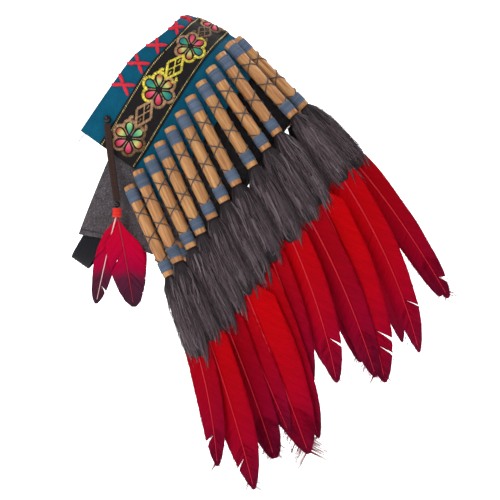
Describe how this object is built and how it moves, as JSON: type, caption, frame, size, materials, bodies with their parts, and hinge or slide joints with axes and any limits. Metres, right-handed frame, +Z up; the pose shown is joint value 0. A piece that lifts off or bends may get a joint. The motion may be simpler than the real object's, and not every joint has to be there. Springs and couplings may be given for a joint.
{
  "type": "feathered headdress",
  "caption": "Feathered headdress: felt brow band with floral trim, wooden tubes with fur tufts and red feathers, elastic back strap and ear drops.",
  "frame": {"origin": "hang point on the inner side of the fold at the front of the band", "axes": "+Z up as it hangs, +Y from the near half to the far half, +X towards the feathers of the front tubes"},
  "size_m": [0.3926, 0.196, 0.4758],
  "materials": {
    "teal_felt": "soft pressed felt",
    "woven_trim": "woven jacquard ribbon with raised gold and coloured floats",
    "grey_felt": "heather grey felt",
    "elastic": "ribbed woven elastic",
    "wood": "satin turned wood with grey thread wraps",
    "plume": "dyed feather with a dark grey fur tuft",
    "suede": "matt suede lace",
    "black_bead": "glossy bead",
    "drop_feather": "dyed feather with dark tip and thread wrap"
  },
  "bodies": {
    "root": {"teal_band": "teal_felt", "woven_trim": "woven_trim", "grey_backing": "grey_felt", "back_strap": "elastic", "tube_near_12": "wood", "plume_near_12": "plume", "tube_near_11": "wood", "plume_near_11": "plume", "tube_near_10": "wood", "plume_near_10": "plume", "tube_near_09": "wood", "plume_near_09": "plume", "tube_near_08": "wood", "plume_near_08": "plume", "tube_near_07": "wood", "plume_near_07": "plume", "tube_near_06": "wood", "plume_near_06": "plume", "tube_near_05": "wood", "plume_near_05": "plume", "tube_near_04": "wood", "plume_near_04": "plume", "tube_near_03": "wood", "plume_near_03": "plume", "tube_near_02": "wood", "plume_near_02": "plume", "tube_near_01": "wood", "plume_near_01": "plume", "drop_bead_near": "black_bead", "lace_near": "suede", "knot_bead_near": "black_bead", "drop_feathers_near": "drop_feather", "tube_far_12": "wood", "plume_far_12": "plume", "tube_far_11": "wood", "plume_far_11": "plume", "tube_far_10": "wood", "plume_far_10": "plume", "tube_far_09": "wood", "plume_far_09": "plume", "tube_far_08": "wood", "plume_far_08": "plume", "tube_far_07": "wood", "plume_far_07": "plume", "tube_far_06": "wood", "plume_far_06": "plume", "tube_far_05": "wood", "plume_far_05": "plume", "tube_far_04": "wood", "plume_far_04": "plume", "tube_far_03": "wood", "plume_far_03": "plume", "tube_far_02": "wood", "plume_far_02": "plume", "tube_far_01": "wood", "plume_far_01": "plume", "drop_bead_far": "black_bead", "lace_far": "suede", "knot_bead_far": "black_bead", "drop_feathers_far": "drop_feather"}
  },
  "joints": []
}
